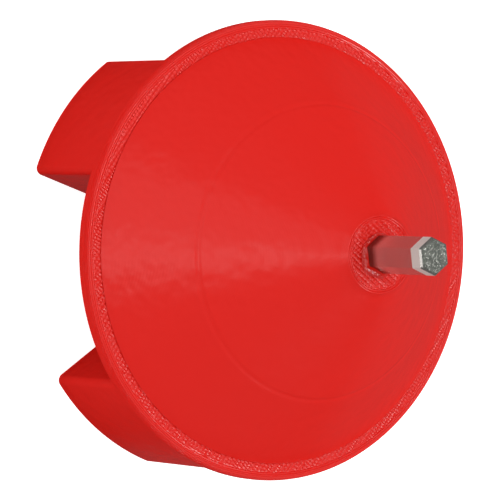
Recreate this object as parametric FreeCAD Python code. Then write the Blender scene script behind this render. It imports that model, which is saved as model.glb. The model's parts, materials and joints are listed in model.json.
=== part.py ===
import FreeCAD, Part
import math
import os

# Cap driver for a power drill, in millimetres: a cone with a rim and four jaws, made as one
# print, on a steel hex shank. +Z runs along the tool's axis towards the shank, and the jaws
# stand on Z = 0. The gaps between the jaws lie on the X and Y axes.

# Rim disc
RIM_RADIUS = 45.0
RIM_THICKNESS = 2.4
RIM_ROUND = 1.3
RIM_LEDGE = 2.1

# Jaws
JAW_COUNT = 4
JAW_LENGTH = 20.8
JAW_SPAN = 36.6
JAW_CORNER = 1.4

# Recess in the cone, and the shelf between it and the jaws
RECESS_RADIUS = 25.5
RECESS_SHELF = 4.5

# Cone: it bends slightly where the solid hub begins, level with the recess roof
KNEE_WALL = 3.1
KNEE_RISE = 13.4
HUB_RADIUS = 7.9
HUB_RISE = 32.7
HUB_EDGE = 0.4

# Hex shank
HEX_FLATS = 6.35
SHANK_REACH = 17.1
HEX_END_BEVEL = 0.35
TAP_SPARE_DEPTH = 1.5

# Adhesive round the shank
BOND_GAP = 0.2
BEAD_WIDTH = 0.9
BEAD_HEIGHT = 0.9
BEAD_LIP = 0.15

# Retaining screw and washer: M4 button head on a wide plain washer
SCREW_RADIUS = 2.0
SCREW_LENGTH = 12.0
SCREW_HEAD_RADIUS = 3.8
SCREW_HEAD_HEIGHT = 2.2
SCREW_HEAD_FLAT_RADIUS = 2.0
SCREW_SOCKET_FLATS = 2.5
SCREW_SOCKET_DEPTH = 1.3
WASHER_RADIUS = 6.0
WASHER_THICKNESS = 1.0
WEB_THICKNESS = 3.0

# Clearances
THREAD_CLEARANCE = 0.05
SCREW_HOLE_CLEARANCE = 0.2
WASHER_HOLE_CLEARANCE = 0.15
POCKET_CLEARANCE = 0.5
HEAD_SINK = 0.2

# Heights along the axis, from the jaw ends up
RIM_FACE_Z = JAW_LENGTH + RIM_THICKNESS
RECESS_ROOF_Z = RIM_FACE_Z + KNEE_RISE
POCKET_DEPTH = WASHER_THICKNESS + SCREW_HEAD_HEIGHT + HEAD_SINK
POCKET_ROOF_Z = RECESS_ROOF_Z + POCKET_DEPTH
SOCKET_FLOOR_Z = POCKET_ROOF_Z + WEB_THICKNESS
HUB_TOP_Z = RIM_FACE_Z + HUB_RISE
SHANK_TIP_Z = HUB_TOP_Z + SHANK_REACH
WASHER_UNDERSIDE_Z = POCKET_ROOF_Z - WASHER_THICKNESS

# Radii that follow from the ones above
CONE_FOOT_RADIUS = RIM_RADIUS - RIM_ROUND - RIM_LEDGE
KNEE_RADIUS = RECESS_RADIUS + KNEE_WALL
JAW_INNER_RADIUS = RECESS_RADIUS + RECESS_SHELF
SOCKET_FLATS = HEX_FLATS + 2.0 * BOND_GAP
CORNERS_PER_FLATS = 1.0 / math.cos(math.radians(30.0))
HEX_CORNER_RADIUS = HEX_FLATS / 2.0 * CORNERS_PER_FLATS

Z_AXIS = FreeCAD.Vector(0.0, 0.0, 1.0)


def disc(radius, bottom, top):
    """A round bar on the Z axis between two heights."""
    return Part.makeCylinder(radius, top - bottom, FreeCAD.Vector(0.0, 0.0, bottom))


def hex_bar(flats, bottom, top):
    """A hexagonal bar on the Z axis with two of its corners on the Y axis."""
    corner = flats / 2.0 * CORNERS_PER_FLATS
    points = []
    for step in range(7):
        angle = math.radians(90.0 + 60.0 * step)
        points.append(FreeCAD.Vector(corner * math.cos(angle), corner * math.sin(angle), bottom))
    face = Part.Face(Part.makePolygon(points))
    return face.extrude(FreeCAD.Vector(0.0, 0.0, top - bottom))


def turned(outline):
    """The solid that a closed wire of (radius, height) edges makes round the Z axis."""
    face = Part.Face(Part.Wire(outline))
    return face.revolve(FreeCAD.Vector(0.0, 0.0, 0.0), Z_AXIS, 360.0)


def line(start, end):
    """A straight edge in the XZ plane between two (radius, height) points."""
    first = FreeCAD.Vector(start[0], 0.0, start[1])
    last = FreeCAD.Vector(end[0], 0.0, end[1])
    return Part.LineSegment(first, last).toShape()


def arc(start, middle, end):
    """A circular edge in the XZ plane through three (radius, height) points."""
    places = [FreeCAD.Vector(radius, 0.0, height) for radius, height in (start, middle, end)]
    return Part.Arc(*places).toShape()


def polygon(points):
    """Straight edges in the XZ plane that join each (radius, height) point to the next."""
    return [line(points[i], points[i + 1]) for i in range(len(points) - 1)]


def cone_and_rim():
    """The rim disc with its quarter-round edge, and the cone on top with its flat hub."""
    round_centre = (RIM_RADIUS - RIM_ROUND, RIM_FACE_Z - RIM_ROUND)
    diagonal = RIM_ROUND * math.cos(math.radians(45.0))
    round_start = (RIM_RADIUS, round_centre[1])
    round_middle = (round_centre[0] + diagonal, round_centre[1] + diagonal)
    round_end = (round_centre[0], RIM_FACE_Z)
    side = polygon([(0.0, HUB_TOP_Z), (0.0, JAW_LENGTH), (RIM_RADIUS, JAW_LENGTH), round_start])
    crown = polygon([
        round_end,
        (CONE_FOOT_RADIUS, RIM_FACE_Z),
        (KNEE_RADIUS, RECESS_ROOF_Z),
        (HUB_RADIUS, HUB_TOP_Z - HUB_EDGE),
        (HUB_RADIUS - HUB_EDGE, HUB_TOP_Z),
        (0.0, HUB_TOP_Z),
    ])
    return turned(side + [arc(round_start, round_middle, round_end)] + crown)


def jaw():
    """One jaw: a sector of a thick ring, centred on the X axis, with its long edges rounded."""
    origin = FreeCAD.Vector(0.0, 0.0, 0.0)
    sector = Part.makeCylinder(RIM_RADIUS, JAW_LENGTH, origin, Z_AXIS, JAW_SPAN)
    sector.rotate(origin, Z_AXIS, -JAW_SPAN / 2.0)
    sector = sector.cut(disc(JAW_INNER_RADIUS, 0.0, JAW_LENGTH))
    upright = []
    for edge in sector.Edges:
        span = edge.BoundBox
        if span.ZLength > JAW_LENGTH / 2.0 and span.XLength < 0.001 and span.YLength < 0.001:
            upright.append(edge)
    return sector.makeFillet(JAW_CORNER, upright)


def printed_body():
    """The whole print: cone, rim and jaws, less the recess, the pocket and the two holes."""
    body = cone_and_rim()
    for index in range(JAW_COUNT):
        claw = jaw()
        turn = (index + 0.5) * 360.0 / JAW_COUNT
        claw.rotate(FreeCAD.Vector(0.0, 0.0, 0.0), Z_AXIS, turn)
        body = body.fuse(claw)
    body = body.removeSplitter()
    body = body.cut(disc(RECESS_RADIUS, JAW_LENGTH, RECESS_ROOF_Z))
    body = body.cut(disc(WASHER_RADIUS + POCKET_CLEARANCE, RECESS_ROOF_Z, POCKET_ROOF_Z))
    body = body.cut(disc(SCREW_RADIUS + SCREW_HOLE_CLEARANCE, POCKET_ROOF_Z, SOCKET_FLOOR_Z))
    return body.cut(hex_bar(SOCKET_FLATS, SOCKET_FLOOR_Z, HUB_TOP_Z))


def hex_shank():
    """The drill shank: hex bar with the rims of both ends bevelled, tapped from below for the screw."""
    bar = hex_bar(HEX_FLATS, SOCKET_FLOOR_Z, SHANK_TIP_Z)
    end_edges = [edge for edge in bar.Edges if edge.BoundBox.ZLength < HEX_END_BEVEL]
    bar = bar.makeChamfer(HEX_END_BEVEL, end_edges)
    engaged = SCREW_LENGTH - WASHER_THICKNESS - WEB_THICKNESS
    hole_top = SOCKET_FLOOR_Z + engaged + TAP_SPARE_DEPTH
    tapped_hole = disc(SCREW_RADIUS + THREAD_CLEARANCE, SOCKET_FLOOR_Z, hole_top)
    return bar.cut(tapped_hole)


def epoxy_bond():
    """The cured adhesive: a thin sleeve in the hex socket with a bead round the shank's root."""
    sleeve = hex_bar(SOCKET_FLATS, SOCKET_FLOOR_Z, HUB_TOP_Z)
    foot = SOCKET_FLATS / 2.0 * CORNERS_PER_FLATS + BEAD_WIDTH
    neck = HEX_CORNER_RADIUS + BEAD_LIP
    bead = Part.makeCone(foot, neck, BEAD_HEIGHT, FreeCAD.Vector(0.0, 0.0, HUB_TOP_Z))
    return sleeve.fuse(bead).removeSplitter().cut(hex_bar(HEX_FLATS, SOCKET_FLOOR_Z, SHANK_TIP_Z))


def retaining_washer():
    """The plain washer under the screw head, flat against the roof of the pocket."""
    hole = disc(SCREW_RADIUS + WASHER_HOLE_CLEARANCE, WASHER_UNDERSIDE_Z, POCKET_ROOF_Z)
    return disc(WASHER_RADIUS, WASHER_UNDERSIDE_Z, POCKET_ROOF_Z).cut(hole)


def retaining_screw():
    """The button-head screw that holds the shank down on the web; its thread is a plain bar."""
    head_bottom = WASHER_UNDERSIDE_Z - SCREW_HEAD_HEIGHT
    # The dome is part of a sphere whose centre lies on the axis, this far above the head's seat.
    squares = SCREW_HEAD_RADIUS ** 2 - SCREW_HEAD_FLAT_RADIUS ** 2 - SCREW_HEAD_HEIGHT ** 2
    rise = squares / (2.0 * SCREW_HEAD_HEIGHT)
    dome_radius = math.hypot(SCREW_HEAD_RADIUS, rise)
    edge_angle = math.atan2(rise, SCREW_HEAD_RADIUS)
    flat_angle = math.atan2(rise + SCREW_HEAD_HEIGHT, SCREW_HEAD_FLAT_RADIUS)
    middle_angle = (edge_angle + flat_angle) / 2.0
    middle_z = WASHER_UNDERSIDE_Z + rise - dome_radius * math.sin(middle_angle)
    dome_edge = (SCREW_HEAD_RADIUS, WASHER_UNDERSIDE_Z)
    dome_middle = (dome_radius * math.cos(middle_angle), middle_z)
    dome_flat = (SCREW_HEAD_FLAT_RADIUS, head_bottom)
    core = polygon([dome_flat, (0.0, head_bottom), (0.0, WASHER_UNDERSIDE_Z), dome_edge])
    head = turned([arc(dome_edge, dome_middle, dome_flat)] + core)
    thread = disc(SCREW_RADIUS, WASHER_UNDERSIDE_Z, WASHER_UNDERSIDE_Z + SCREW_LENGTH)
    key_socket = hex_bar(SCREW_SOCKET_FLATS, head_bottom, head_bottom + SCREW_SOCKET_DEPTH)
    return head.fuse(thread).removeSplitter().cut(key_socket)


NODES = {
    "printed_body": printed_body,
    "hex_shank": hex_shank,
    "epoxy_bond": epoxy_bond,
    "retaining_washer": retaining_washer,
    "retaining_screw": retaining_screw,
}

os.makedirs("parts", exist_ok=True)
for name, make in NODES.items():
    shape = make()
    shape.exportStep("parts/" + name + ".step")
    box = shape.BoundBox
    print(name, len(shape.Solids), shape.isValid(), round(shape.Volume, 1),
          [round(v, 2) for v in (box.XMin, box.YMin, box.ZMin, box.XMax, box.YMax, box.ZMax)])
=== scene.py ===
import json
import math

import bpy
import numpy as np
from mathutils import Matrix, Vector


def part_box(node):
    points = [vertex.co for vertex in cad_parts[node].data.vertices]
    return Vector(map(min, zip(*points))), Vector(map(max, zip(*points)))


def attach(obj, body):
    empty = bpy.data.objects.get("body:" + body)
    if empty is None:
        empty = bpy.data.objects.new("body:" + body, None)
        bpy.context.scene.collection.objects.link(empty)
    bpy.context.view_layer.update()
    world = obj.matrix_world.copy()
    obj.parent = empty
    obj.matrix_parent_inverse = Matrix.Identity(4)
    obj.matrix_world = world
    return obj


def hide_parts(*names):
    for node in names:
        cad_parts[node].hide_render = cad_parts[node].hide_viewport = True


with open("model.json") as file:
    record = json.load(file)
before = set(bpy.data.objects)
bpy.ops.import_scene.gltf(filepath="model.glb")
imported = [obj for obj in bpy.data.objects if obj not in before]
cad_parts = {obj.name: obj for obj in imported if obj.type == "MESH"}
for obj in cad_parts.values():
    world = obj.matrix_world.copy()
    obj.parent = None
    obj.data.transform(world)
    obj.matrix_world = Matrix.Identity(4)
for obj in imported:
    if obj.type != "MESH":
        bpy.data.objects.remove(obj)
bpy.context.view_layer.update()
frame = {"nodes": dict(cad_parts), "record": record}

# ---------------------------------------------------------------------------------------------
# Cone and hub of the printed body. The real piece is one PLA print, with the rim and the jaws
# below. It is laid down in 0.2 mm layers, with the jaws on the bed and the hub printed last, so
# its flat top shows the zigzag of the last solid layer round the hexagonal socket.

MM = 0.001
LAYER = 0.2 * MM
LINE = 0.42 * MM
mounts = {mount["name"]: mount for mount in frame["record"]["mounts"]}
body_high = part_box("printed_body")[1]
shank_low, shank_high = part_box("hex_shank")
washer_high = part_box("retaining_washer")[1]

rim_thickness = 2.4 * MM
rim_round = 1.3 * MM
rim_ledge = 2.1 * MM
knee_wall = 3.1 * MM
pocket_clearance = 0.5 * MM
rim_radius = round(body_high.x, 4)
hub_top_z = body_high.z
recess_radius = mounts["cap_recess"]["dims"]["r_mm"] * MM
recess_depth = mounts["cap_recess"]["dims"]["length_mm"] * MM
rim_under_z = mounts["cap_recess"]["pos_m"][2]
recess_roof_z = rim_under_z + recess_depth
rim_face_z = rim_under_z + rim_thickness
cone_foot_radius = rim_radius - rim_round - rim_ledge
knee_radius = recess_radius + knee_wall
hub_radius = 7.9 * MM
hub_edge = 0.4 * MM
pocket_radius = washer_high.x + pocket_clearance
pocket_roof_z = washer_high.z
web_hole_radius = 2.2 * MM
socket_floor_z = shank_low.z
shank_apothem = shank_high.x
bond_gap = 0.2 * MM


def hexagon(angle, apothem):
    """Radius of a hexagon at each angle: its apothem over the cosine of the angle off the nearest flat."""
    off_flat = np.mod(angle + math.pi / 6, math.pi / 3) - math.pi / 6
    return apothem / np.cos(off_flat)


def zigzag(x, y, heading, inner, outer):
    """Depth, from 0 on a crest to 1 in the deepest groove, of straight print lines side by side in a
    band. Across them it is one less the root of the sine of each line's width. A line and the one
    that it turns back into melt together, so every other groove is shallow. inner and outer are the
    distances to the band's walls, where the grooves of the turns close. Each pair of lines has its own
    height from a hashed sine of its number, and waves along its length by up to half the depth."""
    across = (x * math.cos(heading) + y * math.sin(heading)) / LINE
    along = (y * math.cos(heading) - x * math.sin(heading)) / LINE
    between_pairs = 1 - np.abs(np.sin(math.pi * across / 2)) ** 0.8
    within_pair = 1 - np.sqrt(np.abs(np.sin(math.pi * across)))
    at_outer = np.clip(1 - outer / LINE, 0, 1)
    at_inner = np.clip(1 - inner / LINE, 0, 1)
    hollow = np.maximum(between_pairs * (1 - at_outer), 0.25 * within_pair * (1 - at_inner))
    hollow = np.maximum(hollow, 0.7 * np.maximum(at_outer, at_inner) ** 2)
    chance = np.mod(np.sin(np.floor(across / 2) * 12.99) * 43758.5, 1.0)
    swell = 0.5 + 0.5 * np.sin(along * (2.6 + 2 * chance) + 20 * chance)
    return 0.5 * hollow + 0.5 * swell * (0.3 + 0.7 * chance)


def shell(name, rows, first_pole=None, last_pole=None, sharp=35.0):
    """A closed mesh from a grid of points, rows by columns. Each row runs once round and closes.
    The last row joins the first, unless both ends close in a pole, one point with a fan of
    triangles. If the enclosed volume comes out negative, every face is turned round."""
    count, columns = rows.shape[:2]
    points = rows.reshape(-1, 3)
    index = np.arange(count * columns).reshape(count, columns)
    ring = index if first_pole is not None else np.vstack([index, index[:1]])
    right = np.roll(ring, -1, axis=1)
    quads = np.stack([ring[:-1], right[:-1], right[1:], ring[1:]], axis=-1).reshape(-1, 4)
    fans = np.zeros((0, 3), int)
    if first_pole is not None:
        points = np.vstack([points, [first_pole, last_pole]])
        first, last = count * columns, count * columns + 1
        start = np.stack([np.full(columns, first), right[0], ring[0]], axis=-1)
        end = np.stack([np.full(columns, last), ring[-1], right[-1]], axis=-1)
        fans = np.vstack([start, end])
    corner, second, third = points[quads[:, 0]], points[quads[:, 1]], points[quads[:, 2]]
    fourth = points[quads[:, 3]]
    volume = (np.cross(corner, second) * third).sum() + (np.cross(corner, third) * fourth).sum()
    if volume < 0:
        quads, fans = quads[:, ::-1], fans[:, ::-1]
    mesh = bpy.data.meshes.new(name)
    mesh.vertices.add(len(points))
    mesh.vertices.foreach_set("co", points.astype(np.float32).ravel())
    loops = np.concatenate([quads.ravel(), fans.ravel()])
    sizes = np.concatenate([np.full(len(quads), 4), np.full(len(fans), 3)])
    mesh.loops.add(len(loops))
    mesh.loops.foreach_set("vertex_index", loops.astype(np.int32))
    mesh.polygons.add(len(sizes))
    mesh.polygons.foreach_set("loop_start", (np.cumsum(sizes) - sizes).astype(np.int32))
    mesh.update(calc_edges=True)
    mesh.validate()
    mesh.polygons.foreach_set("use_smooth", np.ones(len(sizes), bool))
    mesh.set_sharp_from_angle(angle=math.radians(sharp))
    piece = bpy.data.objects.new(name, mesh)
    bpy.context.scene.collection.objects.link(piece)
    return piece


def ramp(start, end, count):
    """count values from start to end, without the end, so that stretches can be joined."""
    return np.linspace(start, end, count, endpoint=False)


def turned(radius, height, angle):
    """Points of a surface of revolution: each row's radius and height carried round the Z axis."""
    radius, height, angle = np.broadcast_arrays(radius, height, angle)
    return np.stack([radius * np.cos(angle), radius * np.sin(angle), height], axis=-1)


hull_line_depth = 0.15 * MM
hull_line_width = 0.35 * MM
groove_depth = 0.28 * MM
around = np.linspace(0, 2 * math.pi, 640, endpoint=False)[None, :]
# Outer face: up the steeper foot of the cone to the knee, on up to the hub's edge. Where the solid
# hub begins above the hollow, the layers shrink inwards a little and leave one faint ring.
foot_rows = np.concatenate([ramp(0, 0.93, 22), ramp(0.93, 1.0, 12)])
hub_rows = np.concatenate([ramp(0, 0.06, 10), ramp(0.06, 1.0, 26)])
cone_r = np.concatenate([
    cone_foot_radius + (knee_radius - cone_foot_radius) * foot_rows,
    knee_radius + (hub_radius - knee_radius) * hub_rows,
])
cone_z = np.concatenate([
    rim_face_z + (recess_roof_z - rim_face_z) * foot_rows,
    recess_roof_z + (hub_top_z - hub_edge - recess_roof_z) * hub_rows,
])
cone_r -= hull_line_depth * np.exp(-((cone_z - recess_roof_z) / hull_line_width) ** 2)
outer_face = turned(cone_r[:, None], cone_z[:, None], around)
# Hub face: from its bevelled edge in to the hexagonal socket, with two rings of perimeter line at
# the edge and one round the socket, and the zigzag between them.
inward = np.linspace(0, 1, 62)[:, None]
socket_r = hexagon(around, shank_apothem + bond_gap)
face_radius = hub_radius - hub_edge
face_r = face_radius + (socket_r - face_radius) * inward
face_x, face_y = face_r * np.cos(around), face_r * np.sin(around)
from_edge, from_socket = face_radius - face_r, face_r - socket_r
in_band = (from_edge > 2 * LINE) & (from_socket > LINE)
ring_hollow = 1 - np.sqrt(np.abs(np.sin(math.pi * np.where(in_band, 0.5 * LINE, from_edge) / LINE)))
infill = zigzag(face_x, face_y, math.radians(45), from_socket - LINE, from_edge - 2 * LINE)
face_z = hub_top_z - groove_depth * np.where(in_band, infill, 0.8 * ring_hollow)
hub_face = np.stack([face_x, face_y, face_z], axis=-1)
# Inside: down the socket to the web, out through the screw's hole and pocket to the recess.
inner_r = np.array([web_hole_radius, web_hole_radius, pocket_radius, pocket_radius,
                    recess_radius, recess_radius])[:, None]
inner_z = np.array([socket_floor_z, pocket_roof_z, pocket_roof_z, recess_roof_z,
                    recess_roof_z, rim_face_z])[:, None]
socket_floor = turned(socket_r, np.full((1, 1), socket_floor_z), around)
inside = np.concatenate([socket_floor, turned(inner_r, inner_z, around)])
cone = shell("printed_body_cone", np.concatenate([outer_face, hub_face, inside]))


def linear(colour):
    """An sRGB hex colour such as "#e62820" as linear red, green, blue and alpha."""
    values = [int(colour[i:i + 2], 16) / 255 for i in (1, 3, 5)]
    return [v / 12.92 if v <= 0.04045 else ((v + 0.055) / 1.055) ** 2.4 for v in values] + [1.0]


def add(tree, kind, settings=None, **inputs):
    """Adds a node of that kind, sets its own settings, and gives its inputs a value or a link.
    An input is named in lower case with _ for spaces, or in0, in1 where names repeat."""
    made = tree.nodes.new(kind)
    for key, value in (settings or {}).items():
        setattr(made, key, value)
    for key, value in inputs.items():
        if key[:2] == "in" and key[2:].isdigit():
            socket = made.inputs[int(key[2:])]
        else:
            socket = next(s for s in made.inputs if s.name.lower().replace(" ", "_") == key)
        if isinstance(value, bpy.types.NodeSocket):
            tree.links.new(value, socket)
        else:
            socket.default_value = value
    return made


def finish_material(name):
    """A new node material with its output, and its node tree."""
    material = bpy.data.materials.new(name)
    material.use_nodes = True
    material.node_tree.nodes.clear()
    return material, material.node_tree


# Printed PLA: polylactic acid, laid down as molten beads. The beads melt into one satin skin that
# still shows a fine ridge every layer, with slight unevenness along each bead.
def printed_pla(name, colour):
    """Satin red plastic with a ridge per layer: the sine of the height, noise drawn out along the
    beads, and broad noise 3 mm across where the print head rang."""
    material, tree = finish_material(name)
    place = add(tree, "ShaderNodeTexCoord").outputs["Object"]
    height = add(tree, "ShaderNodeSeparateXYZ", vector=place).outputs["Z"]
    turns = add(tree, "ShaderNodeMath", {"operation": "MULTIPLY"}, in0=height, in1=2 * math.pi / LAYER)
    ridge = add(tree, "ShaderNodeMath", {"operation": "SINE"}, in0=turns.outputs[0])
    drawn = add(tree, "ShaderNodeMapping", vector=place, scale=(60.0, 60.0, 1400.0))
    uneven = add(tree, "ShaderNodeTexNoise", vector=drawn.outputs[0], scale=2.0, detail=3.0, roughness=0.6)
    mixed = add(tree, "ShaderNodeMath", {"operation": "MULTIPLY_ADD"},
                in0=uneven.outputs["Fac"], in1=3.0, in2=ridge.outputs[0])
    ringing = add(tree, "ShaderNodeTexNoise", vector=place, scale=330.0, detail=1.0)
    waved = add(tree, "ShaderNodeMath", {"operation": "MULTIPLY_ADD"},
                in0=ringing.outputs["Fac"], in1=50.0, in2=mixed.outputs[0])
    bump = add(tree, "ShaderNodeBump", strength=0.14, distance=0.03 * MM, height=waved.outputs[0])
    skin = add(tree, "ShaderNodeBsdfPrincipled", base_color=linear(colour), roughness=0.27, ior=1.46,
               normal=bump.outputs[0])
    add(tree, "ShaderNodeOutputMaterial", surface=skin.outputs[0])
    return material


red_pla = printed_pla("printed_pla_red", "#e61c13")
cone.data.materials.append(red_pla)
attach(cone, "root")
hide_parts("printed_body")

# ---------------------------------------------------------------------------------------------
# Rim of the printed body: a thin disc with a quarter-round edge. A printer makes that round from
# 0.2 mm layers, each a little wider than the one above, with the soft edge of a molten bead.

layers = int(round(rim_round / LAYER))
round_foot_z = rim_face_z - rim_round
round_centre_r = rim_radius - rim_round
around = np.linspace(0, 2 * math.pi, 900, endpoint=False)[None, :]
middle_z = rim_face_z - LAYER * (np.arange(layers) + 0.5)
layer_r = round_centre_r + np.sqrt(rim_round ** 2 - (middle_z - round_foot_z) ** 2)
# Four points to each layer's edge, from its top down: the bead bulges by a seventh of a layer.
bulge = LAYER / 7
edge_r = (layer_r[1:, None] - bulge * np.array([1.0, 0.2, 0.0, 0.5])).ravel()
edge_z = (middle_z[1:, None] + LAYER * np.array([0.5, 0.3, -0.1, -0.5])).ravel()
rim_r = np.concatenate([[recess_radius, layer_r[0] - LINE], edge_r, [rim_radius, rim_radius, recess_radius]])
rim_z = np.concatenate([[rim_face_z - LAYER] * 2, edge_z, [round_foot_z, rim_under_z, rim_under_z]])
rim = shell("printed_body_rim", turned(rim_r[:, None], rim_z[:, None], around))
rim.data.materials.append(red_pla)
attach(rim, "root")
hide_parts("printed_body")

# Top layer of the rim: a ring of solid print round the foot of the cone. Two beads follow the edge,
# and inside them short lines run to and fro at 45 degrees to the printer's axes.
around = np.linspace(0, 2 * math.pi, 3200, endpoint=False)[None, :]
ring_inner, ring_outer = cone_foot_radius - 0.3 * MM, layer_r[0]
ring_r = np.linspace(ring_inner, ring_outer, 28)[:, None]
from_edge = ring_outer - ring_r
ring_x, ring_y = ring_r * np.cos(around), ring_r * np.sin(around)
infill = zigzag(ring_x, ring_y, math.radians(135), ring_r - cone_foot_radius, from_edge - 2 * LINE)
edge_beads = 1 - np.sqrt(np.abs(np.sin(math.pi * from_edge / LINE))) + 0 * around
relief = np.where(from_edge < 2 * LINE, 0.5 * edge_beads, infill)
ring_top = np.stack([ring_x, ring_y, rim_face_z - groove_depth * relief], axis=-1)
ring_base = turned(np.array([[ring_outer], [ring_inner]]), rim_face_z - 1.5 * LAYER, around)
top_ring = shell("printed_body_rim_top", np.concatenate([ring_top, ring_base]))
top_ring.data.materials.append(red_pla)
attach(top_ring, "root")
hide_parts("printed_body")

# ---------------------------------------------------------------------------------------------
# Jaws of the printed body: four thick pieces of one ring, standing on the printer's bed. Their
# outer faces run on into the rim's side, and their long edges are rounded.

jaw_inner = mounts["jaw_grip"]["dims"]["r_mm"] * MM
jaw_half_span = math.radians(36.6 / 2)
jaw_corner = 1.4 * MM
bed_bevel = 0.25 * MM


def jaw_outline(inset, steps=16):
    """A rounded sector of a ring, as points round it, drawn in by inset on every side. Each corner is
    an arc tangent to a circle about the axis and to a radial side: its centre lies one corner radius
    inside both."""
    inner, outer = jaw_inner + inset, rim_radius - inset
    points = []
    for radius, out, side in ((outer, -1, -1), (outer, -1, 1), (inner, 1, 1), (inner, 1, -1)):
        corner = jaw_corner - inset
        centre_r = radius + out * corner
        centre_a = side * (jaw_half_span - math.asin((corner + inset) / centre_r))
        start = {(-1, -1): -90, (-1, 1): 0, (1, 1): 90, (1, -1): 180}[(out, side)]
        sweep = np.radians(start + np.linspace(0, 90, steps)) + centre_a
        # The radial side isn't quite square to the arc's centre line, so the sweep leans with it.
        centre = centre_r * np.array([math.cos(centre_a), math.sin(centre_a)])
        points.append(centre + corner * np.stack([np.cos(sweep), np.sin(sweep)], axis=-1))
    spans = []
    for place in range(4):
        here, there = points[place], points[(place + 1) % 4]
        spans.append(here)
        if place in (0, 2):
            first, last = np.arctan2(here[-1, 1], here[-1, 0]), np.arctan2(there[0, 1], there[0, 0])
            radius = outer if place == 0 else inner
            arc = np.linspace(first, last, 30)[1:-1]
            spans.append(radius * np.stack([np.cos(arc), np.sin(arc)], axis=-1))
    return np.concatenate(spans)


outline = jaw_outline(0.0)
bevelled = jaw_outline(bed_bevel)
middle = np.array([(jaw_inner + rim_radius) / 2, 0.0])
levels = np.linspace(bed_bevel, rim_under_z, 12)
for quarter in range(4):
    turn = math.radians(45 + 90 * quarter)
    rows = [middle + (bevelled - middle) * 0.5, bevelled] + [outline] * len(levels)
    rows.append(middle + (outline - middle) * 0.5)
    heights = [0.0, 0.0] + list(levels) + [rim_under_z]
    flat = np.stack(rows)
    x = flat[..., 0] * math.cos(turn) - flat[..., 1] * math.sin(turn)
    y = flat[..., 0] * math.sin(turn) + flat[..., 1] * math.cos(turn)
    z = np.broadcast_to(np.array(heights)[:, None], x.shape)
    poles = [(middle[0] * math.cos(turn), middle[0] * math.sin(turn), end) for end in (0.0, rim_under_z)]
    jaw = shell(f"printed_body_jaw_{quarter + 1}", np.stack([x, y, z], axis=-1), *poles)
    jaw.data.materials.append(red_pla)
    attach(jaw, "root")
    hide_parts("printed_body")

# ---------------------------------------------------------------------------------------------
# Hex shank: quarter-inch hexagonal bar, drawn, sawn to length, its ends bevelled on a belt, then
# nickel plated bright. It stands in the printed socket and is clamped from below by the screw.

long_edge = 0.22 * MM
end_bevel = 0.35 * MM
ground_band = 2.9 * MM
corner_radius = shank_apothem / math.cos(math.pi / 6)
arc_centre = corner_radius - long_edge / math.cos(math.pi / 6)


def rounded_hexagon(angle):
    """Radius of a hexagon with rounded corners. Near a corner it is the far crossing of the ray with
    the corner's arc; elsewhere it is the flat, the apothem over the cosine of the angle off it."""
    off_corner = np.mod(angle, math.pi / 3) - math.pi / 6
    arc_reach = math.atan2(long_edge / 2, arc_centre + long_edge * math.cos(math.pi / 6))
    under_root = np.maximum(long_edge ** 2 - (arc_centre * np.sin(off_corner)) ** 2, 0)
    on_arc = arc_centre * np.cos(off_corner) + np.sqrt(under_root)
    return np.where(np.abs(off_corner) < arc_reach, on_arc, hexagon(angle, shank_apothem))


# Columns crowd towards the corners: an even count of steps, bent by a sine of six per turn.
even = np.linspace(0, 2 * math.pi, 240, endpoint=False)
around = (even + 0.85 * np.sin(6 * even) / 6)[None, :]
tip_z = shank_high.z
z = np.concatenate([
    [socket_floor_z, socket_floor_z + end_bevel],
    np.linspace(socket_floor_z + 2 * end_bevel, tip_z - 2 * end_bevel, 14),
    [tip_z - end_bevel, tip_z],
])[:, None]
bar_r = rounded_hexagon(around) * np.ones_like(z)
bar_r[[0, -1]] *= 1 - end_bevel / shank_apothem
end_in = np.array([0.8, 0.4])[:, None]
rows = np.concatenate([
    turned(bar_r[:1] * end_in[::-1], np.full((2, 1), socket_floor_z), around),
    turned(bar_r, z, around),
    turned(bar_r[-1:] * end_in, np.full((2, 1), tip_z), around),
])
shank = shell("hex_shank_bar", rows, (0, 0, socket_floor_z), (0, 0, tip_z), sharp=25.0)


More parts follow.
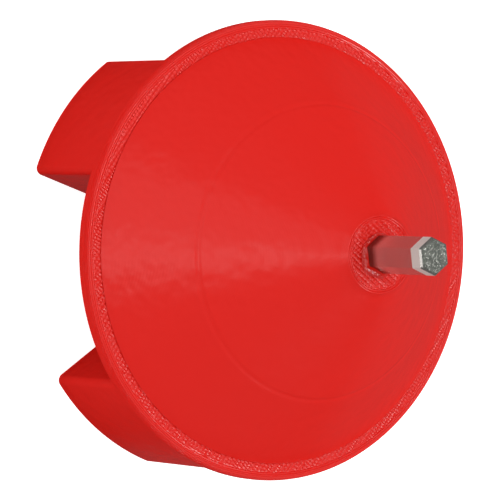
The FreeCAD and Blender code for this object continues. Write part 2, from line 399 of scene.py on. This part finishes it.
# Bright nickel plate over drawn steel: a mirror that drawing marks along the bar blur sideways. The
# last few millimetres are ground matt and bare, the sawn end breaks up into flecks, and the foot is
# painted dark: painted shade, a painted reflection of the shaded root where the bar meets the hub.
def nickel_plate(name, colour, bare, root_shade, sawn_steel):
    """Metal with fine marks: noise drawn out along the bar, noise a third of a millimetre wide on the
    end, a band at the tip between two heights, and a ramp at the foot from painted shade to the metal."""
    material, tree = finish_material(name)
    place = add(tree, "ShaderNodeTexCoord").outputs["Object"]
    drawn = add(tree, "ShaderNodeMapping", vector=place, scale=(4000.0, 4000.0, 60.0))
    marks = add(tree, "ShaderNodeTexNoise", vector=drawn.outputs[0], scale=1.0, detail=2.0)
    sawn = add(tree, "ShaderNodeTexNoise", vector=place, scale=2800.0, detail=3.0, roughness=0.8)
    height = add(tree, "ShaderNodeSeparateXYZ", vector=place).outputs["Z"]
    on_end = add(tree, "ShaderNodeMath", {"operation": "GREATER_THAN"}, in0=height, in1=tip_z - 0.01 * MM)
    rough = add(tree, "ShaderNodeMath", {"operation": "MULTIPLY"}, in0=sawn.outputs["Fac"],
                in1=on_end.outputs[0])
    mixed = add(tree, "ShaderNodeMath", {"operation": "MULTIPLY_ADD"}, in0=rough.outputs[0], in1=30.0,
                in2=marks.outputs["Fac"])
    bump = add(tree, "ShaderNodeBump", strength=0.3, distance=0.01 * MM, height=mixed.outputs[0])
    on_band = add(tree, "ShaderNodeMath", {"operation": "GREATER_THAN"}, in0=height, in1=tip_z - ground_band)
    on_side = add(tree, "ShaderNodeMath", {"operation": "LESS_THAN"}, in0=height, in1=tip_z - end_bevel)
    ground = add(tree, "ShaderNodeMath", {"operation": "MULTIPLY"}, in0=on_band.outputs[0],
                 in1=on_side.outputs[0])
    gloss = add(tree, "ShaderNodeMapRange", value=ground.outputs[0], to_min=0.26, to_max=0.5)
    metal = add(tree, "ShaderNodeMapRange", value=ground.outputs[0], to_min=0.9, to_max=0.35)
    # Painted shade: the bar's foot is coloured dark up to 1.8 mm above the hub and fades out by 3.6 mm.
    root_shade_ramp = add(tree, "ShaderNodeMapRange", value=height, from_min=hub_top_z + 1.8 * MM,
                  from_max=hub_top_z + 3.6 * MM)
    flecks = add(tree, "ShaderNodeMapRange", value=rough.outputs[0], from_min=0.54, from_max=0.62)
    plate = add(tree, "ShaderNodeMix", {"data_type": "RGBA"}, in0=root_shade_ramp.outputs[0], in6=linear(root_shade),
                in7=linear(colour))
    end = add(tree, "ShaderNodeMix", {"data_type": "RGBA"}, in0=flecks.outputs[0], in6=linear(sawn_steel),
              in7=linear(bare))
    tone = add(tree, "ShaderNodeMix", {"data_type": "RGBA"}, in0=on_end.outputs[0], in6=plate.outputs[2],
               in7=end.outputs[2])
    skin = add(tree, "ShaderNodeBsdfPrincipled", base_color=tone.outputs[2], metallic=metal.outputs[0],
               roughness=gloss.outputs[0], normal=bump.outputs[0])
    add(tree, "ShaderNodeOutputMaterial", surface=skin.outputs[0])
    return material


# The third colour, #8a6258, is painted shade for the bar's foot, not a tone of the plate itself.
shank.data.materials.append(nickel_plate("nickel_plated_steel", "#e2dcd6", "#fbfbf4", "#8a6258", "#7c8078"))
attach(shank, "root")
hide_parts("hex_shank")

# ---------------------------------------------------------------------------------------------
# Adhesive: two-part epoxy poured round the shank. It fills the gap in the socket, and what is left
# over wets the hub and climbs the bar in a hollow fillet, widest where it ran down before it set.

around = np.linspace(0, 2 * math.pi, 240, endpoint=False)[None, :]
from_run = np.mod(around - math.radians(225 - 180), 2 * math.pi) - math.pi
fullness = 0.25 + 0.75 * np.exp(-(from_run / 1.3) ** 2)
bar_side = rounded_hexagon(around) - 0.02 * MM
socket_side = hexagon(around, shank_apothem + bond_gap)
bead_width = 0.9 * MM
bead_height = 0.9 * MM
fillet_height = bead_height * fullness * (1 + 0.15 * np.sin(5 * around))
fillet_width = bead_width * fullness * (1 + 0.12 * np.sin(7 * around))
fillet_edge = 0.3 * socket_side + 0.7 * socket_side.max() + fillet_width
arch = np.linspace(0, math.pi / 2, 12)[:, None]
fillet_r = bar_side + (fillet_edge - bar_side) * (1 - np.cos(arch))
fillet_z = hub_top_z + 0.02 * MM + fillet_height * (1 - np.sin(arch))
low, top = np.full((1, 1), socket_floor_z), np.full((1, 1), hub_top_z - groove_depth)
rows = np.concatenate([
    turned(bar_side, low, around),
    turned(fillet_r, fillet_z, around),
    turned(fillet_r[-1:] - 0.05 * MM, top, around),
    turned(socket_side, top, around),
    turned(socket_side, low, around),
])
bond = shell("epoxy_bead", rows)


# Cured epoxy: clear, with a wet gloss, so it takes a deep shade of the print under it.
def cured_epoxy(name, colour):
    """Clear glossy resin, with ripples in it half a millimetre wide."""
    material, tree = finish_material(name)
    place = add(tree, "ShaderNodeTexCoord").outputs["Object"]
    ripple = add(tree, "ShaderNodeTexNoise", vector=place, scale=2200.0, detail=1.0)
    bump = add(tree, "ShaderNodeBump", strength=0.6, distance=0.2 * MM, height=ripple.outputs["Fac"])
    skin = add(tree, "ShaderNodeBsdfPrincipled", base_color=linear(colour), roughness=0.12, ior=1.55,
               normal=bump.outputs[0])
    add(tree, "ShaderNodeOutputMaterial", surface=skin.outputs[0])
    return material


bond.data.materials.append(cured_epoxy("cured_epoxy", "#cc1a12"))
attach(bond, "root")
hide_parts("epoxy_bond")

# ---------------------------------------------------------------------------------------------
# Screw and washer: an M4 button head screw on a wide washer, sunk in a pocket in the recess's roof.
# Both are zinc plated steel, pressed and rolled, and keep the shapes that they have in the frame.


def zinc_plate(name, colour):
    """Zinc plate: pale metal whose crystals vary its gloss, as noise a third of a millimetre wide."""
    material, tree = finish_material(name)
    place = add(tree, "ShaderNodeTexCoord").outputs["Object"]
    grain = add(tree, "ShaderNodeTexNoise", vector=place, scale=3000.0, detail=3.0)
    gloss = add(tree, "ShaderNodeMapRange", value=grain.outputs["Fac"], to_min=0.25, to_max=0.45)
    bump = add(tree, "ShaderNodeBump", strength=0.2, distance=0.01 * MM, height=grain.outputs["Fac"])
    skin = add(tree, "ShaderNodeBsdfPrincipled", base_color=linear(colour), metallic=1.0,
               roughness=gloss.outputs[0], normal=bump.outputs[0])
    add(tree, "ShaderNodeOutputMaterial", surface=skin.outputs[0])
    return material


zinc = zinc_plate("zinc_plated_steel", "#c4c8cc")
for name in ("retaining_screw", "retaining_washer"):
    frame["nodes"][name].data.materials.clear()
    frame["nodes"][name].data.materials.append(zinc)

# ---------------------------------------------------------------------------------------------
# Camera: a long lens that looks down on the tool, turned so that the shank points to the right.

view_azimuth, view_elevation, view_roll = (math.radians(a) for a in (170.5, 55.37, 92.2))
distance = 18 * rim_radius
sensor_width = 36.0
focal_length = 298.8576
toward = Vector((math.cos(view_elevation) * math.cos(view_azimuth),
                 math.cos(view_elevation) * math.sin(view_azimuth), math.sin(view_elevation)))
level = Vector((-math.sin(view_azimuth), math.cos(view_azimuth), 0.0))
upright = toward.cross(level)
right = level * math.cos(view_roll) + upright * math.sin(view_roll)
up = toward.cross(right)
aim = Vector((0, 0, rim_face_z))
camera_data = bpy.data.cameras.new("camera")
camera_data.sensor_width = sensor_width
camera_data.lens = focal_length
camera_data.shift_x, camera_data.shift_y = -0.0636, 0.0012
camera_data.clip_start, camera_data.clip_end = 0.05, 20.0
camera = bpy.data.objects.new("camera", camera_data)
camera.matrix_world = Matrix.Translation(aim + toward * distance) @ Matrix(
    (right, up, toward)).transposed().to_4x4()
bpy.context.scene.collection.objects.link(camera)
bpy.context.scene.camera = camera

# ---------------------------------------------------------------------------------------------
# Studio: a pale table, whose glow only the camera sees, under an even white surround that the gloss
# doesn't show. Softboxes stand to the left, above, to the right and behind, with five small lamps:
# the low and the sheen lamp light only the gloss, and the fill behind only the matt colour.


def floor_sheet(name, half, height):
    """A flat square sheet at that height."""
    mesh = bpy.data.meshes.new(name)
    mesh.from_pydata([(-half, -half, height), (half, -half, height), (half, half, height),
                      (-half, half, height)], [], [(0, 1, 2, 3)])
    sheet = bpy.data.objects.new(name, mesh)
    bpy.context.scene.collection.objects.link(sheet)
    return sheet


table = floor_sheet("table", 4.0, 0.0)
material, tree = finish_material("opal_acrylic_table")
path = add(tree, "ShaderNodeLightPath")
glow = add(tree, "ShaderNodeMath", {"operation": "MULTIPLY"}, in0=path.outputs["Is Camera Ray"], in1=0.85)
opal = add(tree, "ShaderNodeBsdfPrincipled", base_color=linear("#f0f0f0"), roughness=0.6,
           emission_color=linear("#ffffff"), emission_strength=glow.outputs[0])
add(tree, "ShaderNodeOutputMaterial", surface=opal.outputs[0])
table.data.materials.append(material)
table.visible_glossy = False

world = bpy.data.worlds.new("studio")
world.use_nodes = True
world.node_tree.nodes.clear()
white = add(world.node_tree, "ShaderNodeBackground", color=linear("#ffffff"), strength=0.76)
add(world.node_tree, "ShaderNodeOutputWorld", surface=white.outputs[0])
bpy.context.scene.world = world
world.cycles_visibility.glossy = False


def softbox(name, across, above, width, height, radiance, far=1.2):
    """A flat lamp that faces the tool. across and above are its bearings from the line of sight, to
    the right and up; width and height are the angles it fills, all in degrees. Its power is its
    radiance times pi times its area."""
    bearing, rise = math.radians(across), math.radians(above)
    out = right * math.sin(bearing) * math.cos(rise) + up * math.sin(rise)
    out = out + toward * math.cos(bearing) * math.cos(rise)
    lamp = bpy.data.lights.new(name, "AREA")
    lamp.shape = "RECTANGLE"
    lamp.size = 2 * far * math.tan(math.radians(width / 2))
    lamp.size_y = 2 * far * math.tan(math.radians(height / 2))
    lamp.energy = radiance * math.pi * lamp.size * lamp.size_y
    holder = bpy.data.objects.new(name, lamp)
    side = up.cross(out).normalized()
    stand = out.cross(side)
    holder.matrix_world = Matrix.Translation(Vector((0, 0, rim_face_z)) + out * far) @ Matrix(
        (side, stand, out)).transposed().to_4x4()
    bpy.context.scene.collection.objects.link(holder)
    return holder


softbox("left_softbox", -30, 14, 50, 44, 0.5)
softbox("top_softbox", -14, 50, 50, 44, 0.05)
softbox("right_softbox", 72, -2, 50, 50, 0.38)
softbox("back_softbox", 150, 0, 90, 90, 0.07)
softbox("back_fill", 120, -6, 60, 60, 1.1).visible_glossy = False
softbox("near_lamp", -19.7, -6.5, 10, 15, 2.7)
softbox("glint_lamp", 48, 8, 8, 8, 18.0)
softbox("high_lamp", 22, 33, 8, 8, 4.0)
softbox("low_lamp", 52, -42, 12, 12, 22.0).visible_diffuse = False
softbox("sheen_lamp", 26, -8, 18, 18, 4.0).visible_diffuse = False

bpy.context.scene.view_settings.view_transform = "Standard"
